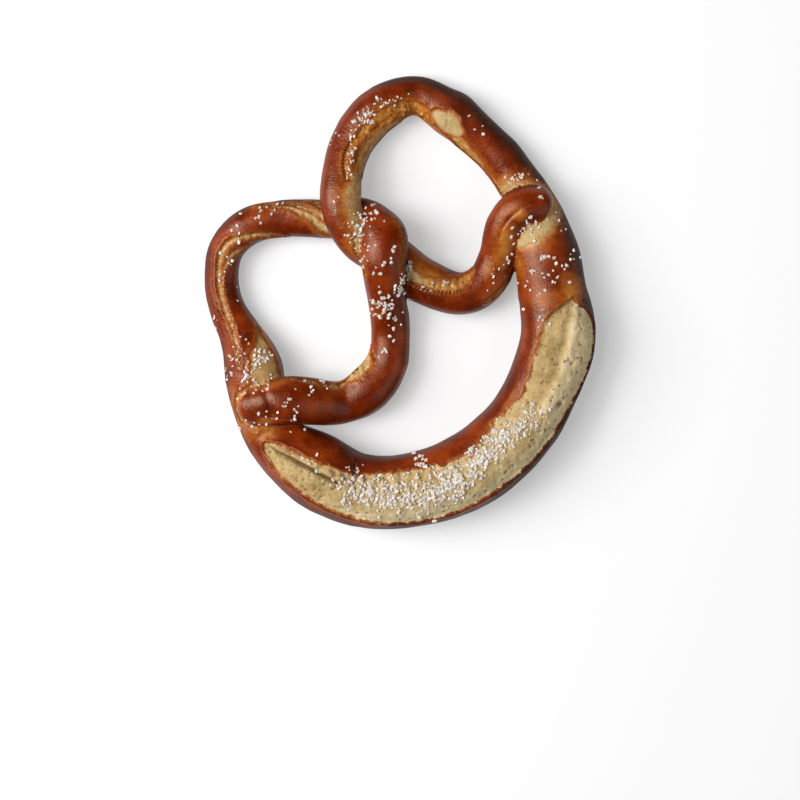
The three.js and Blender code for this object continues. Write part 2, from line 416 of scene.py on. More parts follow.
# %% [markdown]
# Some tears only stretched the crust to a golden skin, others opened down to cream crumb, so
# each has a paleness, which is near 1 for cream. The crust beside a tear is thin too, and
# glows golden over a few millimetres, the tear's halo. A soft tear has no rim: its dough turns
# to crust over several millimetres, where it rose without tearing. The rims of the others look
# like the teeth of a zip, a couple of millimetres apart, because the crust tore in small steps.

# %% The arms' tears
TEARS = [
    # paleness, halo, teeth, softness, stroke
    # round the end pressed on the left shoulder, and the rim of that end
    (0.72, 2, 0.3, 0, [
        (17.05, 122, 0.8), (17.21, 103, 1.1), (17.38, 82, 1.4), (17.6, 56, 2), (17.9, 44, 2.8),
        (18.2, 50, 3), (18.5, 72, 2)]),
    (0.55, 2, 0.2, 0, [(0.2, 150, 0.6), (0.6, 160, 0.9), (1, 168, 1.2), (1.4, 158, 0.8)]),
    (0.8, 2.5, 0.2, 0.25, [
        (16, 152, 0.2), (16.3, 141, 1.6), (16.6, 131, 4.2), (16.9, 121, 8), (17.1, 118, 10)]),
    (0.45, 3, 0.3, 0, [(18.5, 85, 1), (18.75, 105, 0.4)]),
    # inner edge of the arm that ends there, torn wide open where it bends
    (0.7, 2.5, 0.4, 0, [
        (1, 160, 0.5), (1.4, 150, 1.2), (1.9, 146, 1.9), (2.3, 146, 1.9), (2.6, 152, 2.2)]),
    (0.85, 2.5, 1.2, 0, [
        (2.7, 152, 2.8), (3.1, 152, 5), (3.6, 155, 5.6), (4.1, 160, 3.4), (4.5, 164, 0.6)]),
    # beside the crossings
    (0.8, 2.5, 0.4, 0, [(6.9, 147, 0.2), (7.25, 157, 1.2), (7.6, 170, 1)]),
    (0.35, 1.5, 0.3, 0, [(6.6, 36, 0.3), (7.1, 33, 0.6), (7.6, 35, 0.7), (8, 33, 0.4)]),
    # upper run of the left loop
    (1.05, 2.5, 0.9, 0, [
        (9.95, 132, 3), (10.25, 110, 2.8), (10.42, 86, 2.3), (10.58, 73, 2), (10.75, 57, 1.6),
        (11.1, 40, 1), (11.5, 26, 0.4)]),
    (1.05, 2, 0.8, 0, [
        (9.95, 96, 2.2), (10.2, 82, 2), (10.38, 67, 1.7), (10.55, 52, 1.3), (10.8, 38, 0.5)]),
    (1, 2, 0.6, 0, [(9.95, 62, 1.7), (10.25, 46, 1.3), (10.5, 34, 0.6)]),
    # inner side of the left loop
    (1, 1.5, 0.9, 0, [
        (10.9, 163, 0.4), (11.17, 147, 1.2), (11.62, 134, 1.8), (12.08, 117, 1.6),
        (12.46, 99, 1.6), (12.75, 90, 1.7), (13.08, 86, 1.8), (13.38, 86, 1.6), (13.79, 89, 1.5),
        (14.29, 90, 1.6), (14.67, 90, 1.5), (15.1, 89, 1.4), (15.62, 85, 1.2), (16.17, 80, 0.9),
        (16.5, 76, 0.6), (16.85, 70, 0.2)]),
    (0.9, 1.5, 0.8, 0, [
        (12.4, 150, 0.5), (12.62, 141, 1.4), (12.83, 126, 1.4), (13.21, 112, 1.2),
        (13.54, 104, 0.9), (13.7, 96, 0.4)]),
    # cream patch on the right shoulder, and the ring round the end pressed there
    (1.15, 6, 0, 1, [
        (28.1, 142, 2.6), (28.18, 120, 3.7), (28.26, 102, 4.3), (28.36, 82, 3.4), (28.5, 62, 2),
        (28.65, 49, 0.6)]),
    (0.7, 5, 0, 1, [
        (28.5, 62, 1.6), (28.65, 49, 1.6), (28.9, 33, 0.6), (29.17, 36, -0.5), (29.38, 60, 0),
        (29.48, 85, 0.6)]),
    (0.9, 4, 0, 1, [(29.48, 85, 0.4), (29.55, 112, 1.2), (29.6, 138, 2.2)]),
    (0.7, 2, 0.3, 0, [(28.1, 152, 1.2), (27.7, 165, 1.3), (27.3, 172, 0.8), (27, 176, 0.3)]),
    # inner side of the top loop, right
    (0.62, 2.5, 1.2, 0.15, [
        (29.6, 152, 2.4), (29.8, 154, 1.8), (30.05, 164, 0.6), (30.3, 160, 2.4), (30.6, 156, 4.4),
        (31, 148, 4.8), (31.35, 138, 3.8)]),
    (1, 0.5, 0, 0.25, [(31.42, 119, 4.4), (31.82, 114, 7.4), (32.16, 115, 4.2)]),
    (0.45, 3.5, 0.5, 0, [(32.3, 136, 3.6), (32.6, 136, 4.2), (33, 138, 4.6)]),
    # inner side of the top loop, left
    (0.4, 3, 0.8, 0, [
        (33, 138, 4.8), (33.6, 126, 5.4), (34.1, 120, 5.4), (34.5, 114, 4.4), (34.85, 104, 2.6),
        (35.3, 97, 1.6), (35.8, 99, 1.6), (36.2, 113, 1.4), (36.45, 128, 0.8)]),
    (0.72, 2, 0, 0.25, [
        (33.9, 162, 3.5), (34.5, 156, 6), (35.1, 155, 6.6), (35.7, 156, 5.4), (36.1, 158, 2.4)]),
    (0.76, 6, 0, 1, [
        (36.3, 146, 3.8), (36.7, 148, 6.2), (37.1, 148, 6.6), (37.6, 138, 5.6), (38, 116, 2.4)]),
    (0.95, 3, 0.3, 0, [(37.9, 92, 2.8), (38.15, 70, 2.4)]),
    # lower curve between the crossings and the right shoulder
    (0.95, 2.5, 0.5, 0, [(39.3, 84, 2), (39.62, 90, 3.2), (39.85, 92, 3), (40.15, 96, 2)]),
    (0.58, 2, 0.5, 0, [
        (39.85, 94, 2.2), (40, 94, 3), (40.21, 98, 3.4), (40.38, 103, 3.8), (40.62, 112, 4.2),
        (40.79, 119, 4.4), (41.04, 129, 4.2), (41.35, 140, 3.6), (41.7, 148, 2.4),
        (42.1, 154, 1)]),
    (0.5, 1.5, 0.5, 0, [(41.6, 52, 0.6), (42.05, 42, 1.7), (42.45, 28, 1.9), (42.9, 20, 1)]),
]


def pull(reach):
    """A tear's pull on a point's paleness, so steep that the nearest tear decides it."""
    return np.exp(np.clip(reach, -8, 8) * 1.5)


reaches = np.array([stroke_reach(stroke, teeth) for _, _, teeth, _, stroke in TEARS])
pales, halos, _, softs = np.array([tear[:4] for tear in TEARS]).T
weights = pull(reaches)
split_weight = pull(split)
weight_sum = weights.sum(axis=0) + split_weight
paleness = ((weights * pales[:, None]).sum(axis=0) + split_weight) / weight_sum
softness = (weights * softs[:, None]).sum(axis=0) / weight_sum
arm_reach = reaches.max(axis=0)
open_reach = np.maximum(arm_reach, split)
halo_glow = np.exp(np.minimum(reaches, 0) / halos[:, None]).max(axis=0)
print(f"{len(TEARS)} tears besides the split")

# %% [markdown]
# ## Folds, lips and wrinkles
# Where crust tears, its rims curl up as lips and the bare dough between them stays lower, or
# bulges. These forms are a few millimetres high, so they're cut into the mesh itself: each
# point moves along its normal. Creases are strokes too, with a depth and a blur.

# %% Creases
CREASES = [
    # depth, blur, stroke
    (3.2, 1.2, [(19.12, 80, 0.6), (19.6, 92, 1.2), (20.05, 96, 1.3), (20.6, 98, 0.8)]),
    (1.5, 4, [(0.5, 140, 0.4), (0.56, 100, 1.2), (0.52, 60, 1.2), (0.45, 40, 0.4)]),
    (2.9, 2, [(20.68, 146, 0.1), (20.79, 132, 0.7), (20.87, 116, 1.3)]),
    (1.8, 1.4, [(0.1, 55, 0.3), (0.4, 50, 0.6), (0.8, 45, 0.5), (1.25, 28, 0.1)]),
    (1.5, 1.4, [(43.75, 98, 0.2), (44.3, 92, 0.4), (44.8, 88, 0.5), (45.3, 92, 0.2)]),
    (1, 1, [(32.3, 100, 0.1), (32.1, 106, 0.4), (31.85, 112, 0.4), (31.5, 120, 0.1)]),
    (0.9, 1, [(32.05, 86, 0.1), (31.95, 98, 0.3), (31.85, 112, 0.3), (31.75, 130, 0.1)]),
    (0.7, 1, [(31.75, 82, 0.1), (31.7, 96, 0.3), (31.75, 112, 0.2)]),
    (1.4, 1.6, [(33.8, 128, 0.2), (34.6, 122, 0.5), (35.3, 118, 0.5), (36, 130, 0.2)]),
    (1.3, 1.5, [(10, 80, 0.2), (10.35, 62, 0.4), (10.7, 44, 0.3), (11, 34, 0.1)]),
    (1.2, 1.6, [(28.25, 112, 0.2), (28.5, 84, 0.4), (28.7, 56, 0.3), (28.9, 42, 0.1)]),
]
WALL = 3.5  # steepness of a crease's walls, over its blur
DARK_DEPTH = 2.5  # from this depth on, a crease is quite dark
relief = np.zeros(len(length))
crease = np.zeros(len(length))
# Each crease also adds to crease, the amount of painted shade that the material puts into it.
for depth, blur, stroke in CREASES:
    groove = 1 / (1 + np.exp(-stroke_reach(stroke) / blur * WALL))
    relief -= depth * groove
    crease = np.maximum(crease, groove * min(1, depth / DARK_DEPTH))
print(f"creases reach {-relief.min():.1f} mm deep")

# %% [markdown]
# Along some rims the crust was drawn through in small dents, like a row of stitches. They are
# the same strokes, deep at every tooth and shallow between.

# %% Stitched rims
STITCHES = [
    [
        (39.7, 72, 0.4), (40, 74, 0.5), (40.21, 79, 0.5), (40.38, 84, 0.6), (40.62, 92, 0.6),
        (40.79, 98, 0.6), (41.04, 108, 0.5), (41.35, 118, 0.3)],
    [(34.7, 95, 0.3), (35.1, 90, 0.5), (35.6, 88, 0.6), (36, 94, 0.5), (36.4, 110, 0.3)],
    [(12.5, 84, 0), (12.9, 78, 0.1), (13.4, 76, 0.1), (14, 79, 0.1), (14.6, 80, -0.1)],
]
STITCH_DEPTH = 1.5
BETWEEN = 0.25  # share of that depth that is left between two dents
dents = 0.5 + 0.5 * np.cos(length / TOOTH * 2 * math.pi + 1.5 * jitter)
# The dents add to crease too, so the material gives them the same painted shade.
for stroke in STITCHES:
    stitch = rise(stroke_reach(stroke), -1.1, 0.3) * (BETWEEN + (1 - BETWEEN) * dents)
    relief -= STITCH_DEPTH * stitch
    crease = np.maximum(crease, stitch)
print(f"{len(STITCHES)} stitched rims")


# %% [markdown]
# Two steps run along the crumb: at the left end the knife's cut left a raised flap above it,
# and at the right end the outer part of the crumb rose higher than the inner part. A step is
# high on one side of its line and low on the other, and levels out away from it. Beyond the
# right step the outer part of the crumb is painted paler, as painted light, and the inner
# part darker, as painted shade; the crumb that faces outward is painted paler too.

# %% Steps in the crumb
def step_along(line, towards_top, high, high_reach, low, low_reach, width):
    side = (around - angle_on(line)) * degrees_to_mm * (1 if towards_top else -1)
    high_part = high * np.exp(-np.maximum(side, 0) / high_reach)
    low_part = -low * np.exp(np.minimum(side, 0) / low_reach)
    blend = rise(side, -width, width)
    return (low_part + (high_part - low_part) * blend) * within(line[0][0], line[-1][0], 0.25)


CUT = [(19.2, 78), (19.6, 93), (20.05, 96), (20.5, 99)]
VALLEY = [(24.8, 84), (25.2, 84), (25.58, 80), (25.96, 79), (26.42, 69), (26.7, 60)]
inside_split = rise(split, -0.5, 2.5)
relief += inside_split * step_along(CUT, towards_top=True, high=1.6, high_reach=8,
                                    low=1.2, low_reach=8, width=0.9)
relief += inside_split * step_along(VALLEY, towards_top=False, high=0.8, high_reach=14,
                                    low=1.6, low_reach=11, width=2.6)
outer_part = rise((angle_on(VALLEY) - around) * degrees_to_mm, -2, 2)
# Painted light and shade on the crumb: beyond the step its outer part is painted paler and its
# inner part darker.
paleness += inside_split * within(24.9, 26.8) * (0.45 * outer_part - 0.08)
# Painted light: the crumb that faces outward is painted paler, as if better lit.
paleness += 0.70 * inside_split * (1 - rise(around, 45, 80)) * within(21, 26.8, 1)
paleness -= 0.10 * inside_split * (1 - rise(share, 20.5, 21.5))

# %% [markdown]
# Hand-rolled dough also swells here and there. Each swelling is a broad bump on one side of
# the rope, a millimetre or two high.

# %% Swellings
SWELLINGS = [
    # share, angle, reach in shares, reach in degrees, height
    (31.8, 15, 0.45, 70, 2), (30.15, 15, 0.4, 70, 1.6), (35.9, 165, 0.7, 60, 1.9),
    (36.7, 165, 0.4, 60, 1.6), (10.4, 160, 0.8, 60, 1.2), (16.2, 160, 0.6, 60, 1.3),
    (7.9, 20, 0.4, 50, 1.4), (5.3, 10, 0.6, 60, 1.2), (26.2, 15, 0.5, 60, 1),
    (23.8, 165, 0.6, 50, 1.2), (1.55, 80, 0.4, 70, 1.2),
]


def soft_spot(at_share, at_angle, reach, spread):
    """1 in the middle of a round spot on the rope, fading softly to 0."""
    return np.exp(-((share - at_share) / reach) ** 2 - (turn(around - at_angle) / spread) ** 2)


for *where, height in SWELLINGS:
    relief += height * soft_spot(*where)
print(len(SWELLINGS), "swellings")

# %% [markdown]
# The crust's own unevenness is small and broad, from rolling by hand. The crumb is rougher,
# with wrinkles across it where it stretched, and a flap of dough stands in the left arm's tear.

# %% Lips, bare dough and wrinkles
LIP, LIP_AT_SPLIT, LIP_FRAYED = 0.5, 0.3, 0.75  # a lip's height, what splits add, frays take
BARE_DEPTH, SPLIT_DEPTH = 0.7, 0.3  # how low bare dough lies, and the split besides
CRUMB_RISE, FLAP_HEIGHT = 1.6, 1.4
WRINKLE, FINE_WRINKLE = 0.55, 0.20

tear = open_reach + waves((0.9, 4, 3), (0.6, 1.9, 4))
lip = np.exp(-((tear + 1.2) / 1.3) ** 2) * (1 - softness)
bare = rise(tear, -0.8, 0.9) * (1 - softness)
in_split = rise(split, -1, 1.5)
near_split = rise(split, -5, -1)
fringe = within(23, 26.4, 0.5) * rise(around, 60, 80)
frayed = fringe * near_split
relief += lip * (LIP + LIP_AT_SPLIT * near_split - LIP_FRAYED * frayed)
relief -= bare * (BARE_DEPTH + SPLIT_DEPTH * in_split)
relief += CRUMB_RISE * rise(split, 1, 14)

FLAP = [(2.7, 150, 2.5), (3.2, 150, 4.5), (3.9, 152, 4), (4.3, 158, 1)]
flap = rise(stroke_reach(FLAP), -2, 1.5)
relief += flap * (FLAP_HEIGHT + waves((1.6, 2.6, 15)))

wave = np.sin(length / 1.3 + waves((2, 7, 5)))
wrinkled = in_split * rise(around, 82, 104) * within(19.5, 23)
relief += WRINKLE * wave * wrinkled
torn_arm = bare * (1 - in_split) * (1 - rise(softness, 0.05, 0.25))
relief += torn_arm * (FINE_WRINKLE * np.sin(length / 0.85 + waves((3.5, 5, 6)))
                      + waves((0.40, 1.8, 7)))
relief += in_split * waves((0.65, 6.5, 8), (0.32, 2.4, 9), (0.12, 1.3, 18))
relief += waves((0.50, 17, 10), (0.14, 6, 11))

# %% [markdown]
# Bubbles broke at the crumb's surface and left pores. About two hundred are dents in the mesh,
# at random places in the split, and one broad pit near its right end is placed at a given
# share and angle. The smallest are left to the material.

# %% Pores
PORES = 210
PORE_DEPTH = 1.0
SMALLEST_PORE, PORE_RANGE = 0.6, 1.1  # millimetres, and what chance adds
PORE_WALL, PORE_REACH = 1.8, 2.2  # a pore's steepness and reach, over its size
PIT = (25.04, 60)  # share and angle of the broad pit
PIT_SIZE = 4.2
pore_source = random.Random(12)
crumb_points = np.flatnonzero((split > 2) & (facing_up > 0.3))
crumb_tree = KDTree(len(crumb_points))
for number in crumb_points:
    crumb_tree.insert(skin[number], int(number))
crumb_tree.balance()
pore = np.zeros(len(length))
pit_point = int(np.argmin((share - PIT[0]) ** 2 + ((around - PIT[1]) / 60) ** 2))
pores = [(pit_point, PIT_SIZE, 1)]
for _ in range(PORES):
    point = pore_source.choice(crumb_points)
    size = SMALLEST_PORE + PORE_RANGE * pore_source.random() ** 3
    pores.append((point, size, min(1, 0.4 + 0.5 * size)))
for point, size, strength in pores:
    centre = skin[point]
    for _, number, distance in crumb_tree.find_range(centre, PORE_REACH * size):
        dent = math.exp(-(distance / size) ** 2 * PORE_WALL)
        pore[number] = max(pore[number], dent * strength)
relief -= pore * PORE_DEPTH
underneath = 1 - rise(skin[:, 2], 0.2, 3)
relief *= 1 - underneath
print(f"relief runs from {relief.min():.1f} to {relief.max():.1f} mm")

# %% [markdown]
# The points move along the normals of the joined rope. Everything stays above the tray.

# %% Moving the skin
normals = np.empty(len(length) * 3, dtype=np.float32)
pretzel.data.vertices.foreach_get("normal", normals)
skin_moved = skin + normals.reshape(-1, 3) * relief[:, None]
write_points(pretzel.data, skin_moved * MM)
bpy.ops.object.select_all(action="DESELECT")
pretzel.select_set(True)
bpy.context.view_layer.objects.active = pretzel
bpy.ops.object.shade_smooth()

# %% [markdown]
# ## What the finish needs to know
# The material is told about the tears by attributes, numbers stored at each point of the
# mesh: the signed distance to the nearest tear and to the split, how pale and how soft the
# dough is, how deep pores and creases are, how dark the crust was baked together with painted
# shade, how golden it is where it thinned, and what lay on the tray. The flanks baked darkest,
# and painted shade darkens them and the sides that face down further.

# %% Baked dark and painted shade on the flanks
facing_down = 1 - rise(facing_up, 0, 0.75)
BAKED_AND_SHADED = [
    # strength, from share, to share
    (0.35, 17.5, 23), (0.95, 24, 28), (0.7, 28.5, 33.5), (0.45, 10, 16.5),
]
flanks = sum(strength * within(start, end, 1) for strength, start, end in BAKED_AND_SHADED)
# Painted shade: the sides that face down are darkened, and the outward flanks are darker both
# from baking and from painted shade.
dark = 0.7 * facing_down
dark += rise(facing_out, 0.4, 0.9) * flanks
# The outer side of the top loop's right strand gets more of the same baked dark and painted
# shade.
dark += 0.35 * within(29.8, 32.6, 0.8) * rise(facing_out, -0.2, 0.6)
dark += waves((0.16, 14, 13))
print(f"dark runs up to {dark.max():.2f}")

# %% [markdown]
# Where dough stretched, its crust is thin and bakes golden. The tears' halos give most of
# this, and spots are added where the crust only stretched.

# %% Golden where the crust thinned
GLOWS = [
    # share, angle, reach in shares, reach in degrees, strength
    (34.3, 118, 1.6, 34, 0.9), (36.2, 130, 1.2, 24, 0.7), (37.4, 128, 0.8, 34, 1),
    (28.1, 125, 0.28, 60, 0.95), (27.65, 150, 0.35, 26, 0.6), (43.5, 82, 0.8, 34, 0.95),
    (44.85, 80, 0.32, 26, 1), (27, 58, 0.35, 24, 0.9), (42.6, 100, 0.5, 20, 0.6),
    (18.3, 60, 0.5, 40, 0.8), (30.7, 142, 1, 22, 0.8), (29.7, 125, 0.16, 50, 0.8),
    (0.32, 30, 0.18, 22, 0.9), (17.7, 50, 0.5, 30, 0.6), (40, 118, 1.4, 30, 0.7),
    (32.6, 150, 1, 30, 0.8), (30.6, 150, 1.3, 20, 0.5), (16.5, 150, 0.6, 26, 0.7),
    (18.8, 95, 0.3, 40, 0.7), (42.1, 40, 0.5, 24, 0.4), (38, 80, 0.35, 40, 0.9),
    (24.6, 136, 0.4, 7, 0.5), (25.5, 127, 0.8, 6, 0.35), (26.9, 90, 0.22, 50, 0.55),
    (3.4, 150, 0.8, 14, 0.7), (10.2, 80, 0.5, 50, 0.4), (39.5, 150, 1, 30, 0.6),
    (0.6, 150, 0.5, 20, 0.6), (33.2, 110, 0.7, 12, 0.5), (29.6, 100, 0.16, 60, 0.5),
]
glow = 0.75 * halo_glow
for *where, strength in GLOWS:
    glow = np.maximum(glow, strength * soft_spot(*where))
lower_edge = (1 - rise(around, 50, 70)) * within(21.5, 26.6)
glow_at_split = 0.45 + 0.35 * fringe - 0.30 * lower_edge
glow = np.maximum(glow, glow_at_split * np.exp(np.minimum(split, 0) / (1.2 + 0.5 * fringe)))
glow *= 1 + waves((0.30, 5, 14))
print(len(GLOWS), "golden spots")

# %% [markdown]
# One more attribute unrolls the rope: its first number runs along the rope and the other two
# round it, so that fine wrinkles can cross the rope all the way along.

# %% Attributes
told = {"tear": open_reach, "pale": paleness, "soft": softness, "split": np.clip(split, -10, 30),
        "pore": np.clip(pore, 0, 1), "crease": crease, "dark": np.clip(dark, 0, 1),
        "glow": np.clip(glow, 0, 1), "tray": underneath}
for name, values in told.items():
    attribute = pretzel.data.attributes.new(name, "FLOAT", "POINT")
    attribute.data.foreach_set("value", values.astype(np.float32))
unrolled = np.column_stack([length, radius * facing_out, radius * facing_up]) * MM
unrolled_at = pretzel.data.attributes.new("unrolled", "FLOAT_VECTOR", "POINT")
unrolled_at.data.foreach_set("vector", unrolled.astype(np.float32).ravel())

# %% [markdown]
# The skin has more faces than it needs, on the flat underside above all. Decimate collapses
# them where the form changes least, and the attributes stay with the points that are left.

# %% Fewer faces
MOST_TRIANGLES = 192_000
apply_modifier(pretzel, "DECIMATE", ratio=MOST_TRIANGLES / (2 * len(pretzel.data.polygons)))
write_points(pretzel.data, read_points(pretzel.data))
bpy.ops.object.shade_smooth()
print("faces left:", len(pretzel.data.polygons))
print("attributes:", [a.name for a in pretzel.data.attributes if a.domain == "POINT"])


# %% [markdown]
# ## The finish
# One material covers the whole pretzel, because crust turns into crumb without a seam. Nodes
# are joined in code by a small helper: it adds a node, sets its values, and links whatever
# is given as a socket.

# %% Node helpers
class Nodes:
    def __init__(self, name):
        self.material = bpy.data.materials.new(name)
        self.material.use_nodes = True
        self.tree = self.material.node_tree
        self.tree.nodes.clear()

    def join(self, value, socket):
        if isinstance(value, bpy.types.NodeSocket):
            self.tree.links.new(value, socket)
        else:
            socket.default_value = value

    def add(self, kind, *inputs, **settings):
        made = self.tree.nodes.new("ShaderNode" + kind)
        for number, value in enumerate(inputs):
            self.join(value, made.inputs[number])
        for key, value in settings.items():
            if hasattr(made, key):
                setattr(made, key, value)
            else:
                self.join(value, made.inputs[key.replace("_", " ")])
        return made

    def math(self, operation, *values):
        return self.add("Math", *values, operation=operation).outputs[0]

    def plus(self, *values):
        total = values[0]
        for value in values[1:]:
            total = self.math("ADD", total, value)
        return total

    def times(self, *values):
        product = values[0]
        for value in values[1:]:
            product = self.math("MULTIPLY", product, value)
        return product

    def sway(self, noise, amount):
        """Noise around a half, made to run from about -amount to +amount."""
        return self.times(self.math("SUBTRACT", noise, 0.5), 4 * amount)

    def span(self, value, start, end, low=0.0, high=1.0):
        """Changes smoothly from low to high as value goes from start to end."""
        return self.add("MapRange", value, start, end, low, high,
                        interpolation_type="SMOOTHSTEP").outputs[0]

    def blend(self, share, first, second):
        made = self.tree.nodes.new("ShaderNodeMix")
        made.data_type = "RGBA"
        for number, value in ((0, share), (6, first), (7, second)):
            self.join(value, made.inputs[number])
        return made.outputs[2]

    def fade(self, value, start, end, first, second, amount=1.0):
        """Turns the first colour into the second as value goes from start to end."""
        return self.blend(self.span(value, start, end, 0.0, amount), first, second)

    def mixture(self, *parts):
        """The sum of some values, each with its share."""
        return self.plus(*(self.times(value, share) for value, share in parts))

    def read(self, attribute, output="Fac"):
        return self.add("Attribute", attribute_name=attribute).outputs[output]

    def noise(self, place, scale, detail, roughness=0.5):
        return self.add("TexNoise", Vector=place, Scale=scale, Detail=detail,
                        Roughness=roughness).outputs["Fac"]

    def ramp(self, value, *stops):
        made = self.add("ValToRGB", value)
        colours = made.color_ramp.elements
        while len(colours) < len(stops):
            colours.new(1.0)
        for element, (position, *colour) in zip(colours, stops):
            element.position = position
            element.color = rgb(*colour)
        return made.outputs["Color"]


def rgb(red, green, blue):
    """A colour as a painter reads it, 0 to 255, made linear for Blender."""
    parts = (red / 255, green / 255, blue / 255)
    return tuple(p / 12.92 if p <= 0.04045 else ((p + 0.055) / 1.055) ** 2.4
                 for p in parts) + (1.0,)


# %% [markdown]
# The crust is brown with a reddish mahogany cast, mottled softly and speckled with fine
# freckles and blisters. It deepens with the baking and with painted shade on the flanks and
# the sides that face down, and turns orange, then golden, where the crust is thin. The
# helper's methods get short names, because nearly every line uses them.

# %% Crust colours
crust = Nodes("baked_crust")
span, fade, blend, plus = crust.span, crust.fade, crust.blend, crust.plus
times, mixture, sway, noise = crust.times, crust.mixture, crust.sway, crust.noise
place = crust.add("TexCoord").outputs["Object"]
unrolled_place = crust.read("unrolled", "Vector")
across_rope = crust.add("Mapping", unrolled_place, Scale=(1, 0.22, 0.22)).outputs[0]
(tear_at, pale_at, soft_at, split_at, pore_at, crease_at, dark_at, glow_at,
 tray_at) = (crust.read(name) for name in told)

cloud = noise(place, 60, 4, 0.5)
coarse = noise(place, 260, 3, 0.6)
fine = noise(place, 850, 3, 0.65)
speck = noise(place, 1700, 2, 0.6)
fibres = noise(across_rope, 950, 3, 0.6)

mahogany = crust.ramp(cloud, (0.30, 84, 20, 0), (0.50, 112, 32, 1), (0.70, 144, 54, 6))
# Baked dark and painted shade: the dark attribute turns the crust nearly black on the flanks and
# the sides that face down.
burnt_and_shaded = fade(dark_at, 0.05, 0.95, mahogany, rgb(48, 11, 3))
glow_uneven = plus(glow_at, sway(coarse, 0.16), sway(fibres, 0.10))
orange_crust = fade(glow_uneven, 0.10, 0.55, burnt_and_shaded, rgb(152, 76, 20))
golden_crust = fade(glow_uneven, 0.50, 1.05, orange_crust, rgb(182, 116, 42))
freckled = fade(speck, 0.60, 0.70, golden_crust, rgb(60, 20, 4), amount=0.60)
blistered = fade(speck, 0.39, 0.30, freckled, rgb(196, 116, 60), amount=0.42)


# %% [markdown]
# The torn edge is ragged, because noise is added to the distance before it is compared. A
# burnt rim comes first, then orange, gold and at last cream crumb, if the tear is deep. A soft
# tear has no rim, and its colours run into one another over several millimetres.

# %% Torn edge and crumb
def by_softness(sharp, soft):
    """One value at a sharp tear and another at a soft one."""
    return span(soft_at, 0.3, 0.7, sharp, soft)


ragged = plus(sway(coarse, 0.8), sway(fine, 0.6), sway(fibres, 0.5))
clean = plus(span(soft_at, 0, 0.2, 1, 0.2), by_softness(0, 1.1))
edge = plus(tear_at, times(ragged, clean))
rim_share = times(span(edge, -1.6, -0.5), span(coarse, 0.36, 0.60, 0.10, 0.65),
                  by_softness(1, 0))
rim = blend(rim_share, blistered, rgb(84, 32, 8))
# The orange of the tears is darkened by the same baked dark and painted shade.
orange_tone = fade(dark_at, 0.1, 0.5, rgb(164, 88, 28), rgb(98, 42, 12))
orange = fade(edge, by_softness(-0.5, -5.5), 0.3, rim, orange_tone)
in_crumb = span(split_at, 0, 1)
# Paleness brings the crumb's painted light and shade into its colour here, along with the tears'
# own paleness.
crumb_shade = times(crust.math("SUBTRACT", pale_at, 1), in_crumb, 0.35)
crumb_mottle = plus(mixture((coarse, 0.35), (fine, 0.25), (cloud, 0.40)), crumb_shade)
crumb = crust.ramp(crumb_mottle, (0.36, 154, 128, 80), (0.47, 184, 156, 106),
                   (0.56, 196, 170, 120), (0.66, 214, 194, 150))
gold_mottle = mixture((fibres, 0.35), (coarse, 0.65))
gold_dough = crust.ramp(gold_mottle, (0.36, 130, 64, 10), (0.46, 166, 96, 24),
                        (0.56, 190, 126, 48), (0.66, 218, 174, 104))
paler = crust.math("MAXIMUM", span(pale_at, 0.45, 1.05), in_crumb)
dough = blend(paler, gold_dough, crumb)
dough_end = plus(by_softness(1.8, 2.2), span(split_at, -1, 0.5, 0, -0.7))
bare_dough = fade(edge, by_softness(0.2, -4), dough_end, orange, dough)

# Painted shade in pores: small pores of the crumb are dark dots of colour, with a little bump,
# where the mesh has no holes.
pits = crust.add("TexVoronoi", Vector=place, Scale=330)
pit_size = span(noise(place, 180, 1), 0.42, 0.70, 0.05, 0.34)
pit = times(crust.math("LESS_THAN", pits.outputs["Distance"], pit_size),
            span(split_at, 1.5, 3))
pit_shaded = blend(times(pit, 0.7), bare_dough, rgb(118, 80, 38))
# The dented pores of the mesh are darkened as well, as painted shade.
pore_shaded = fade(pore_at, 0.30, 0.95, pit_shaded, rgb(104, 68, 30), amount=0.85)
# Painted shade in creases and stitch dents: dark brown on the crust and dark tan in the crumb.
fold_shade = fade(edge, -0.5, 1, rgb(52, 14, 3), rgb(88, 58, 26))
crease_shaded = fade(crease_at, 0.25, 1, pore_shaded, fold_shade, amount=0.92)
finish_colour = fade(tray_at, 0.3, 1, crease_shaded, rgb(150, 92, 52), amount=0.3)

# %% [markdown]
# Crust is glossy like polished leather, crumb is dull. Small bumps break the gloss: fine
# wrinkles across the rope and a leathery grain on the crust, and a spongy grain on the crumb.

# %% Gloss and bumps
is_bare = span(edge, -0.6, 1)
rough = plus(span(cloud, 0.3, 0.7, 0.22, 0.32), times(is_bare, 0.45), times(tray_at, 0.25),
             times(dark_at, 0.34))
leather = mixture((noise(place, 520, 3, 0.55), 0.8), (fibres, 0.5), (speck, 0.25))
sponge = times(noise(place, 700, 5, 0.7), is_bare, 2.2)
height = plus(leather, sponge, times(pit, -1.2))
bump = crust.add("Bump", Strength=0.6, Distance=0.0005, Height=height)
skin_shader = crust.add("BsdfPrincipled", Base_Color=finish_colour, Roughness=rough,
                        Normal=bump.outputs[0], IOR=1.45, Specular_IOR_Level=0.5,
                        Specular_Tint=(1, 0.72, 0.52, 1))
crust.add("OutputMaterial", skin_shader.outputs[0])
pretzel.data.materials.append(crust.material)
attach(pretzel, "root")
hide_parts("pretzel")
print("crust material has", len(crust.tree.nodes), "nodes")

# %% [markdown]
# ## Coarse salt
# Pretzel salt is compressed salt, broken into blunt lumps of one to three millimetres. Five
# lumps are modelled by bevelling a cube and pulling its corners about. Copies of them are
# turned, scaled and dropped straight down onto the crust, each sunk a little into it.

# %% Lumps of salt
salt_source = random.Random(21)
LUMPS = 5
CORNER_PULL, BEVEL, FACET_PULL = 0.17, 0.15, 0.04  # over a lump's size


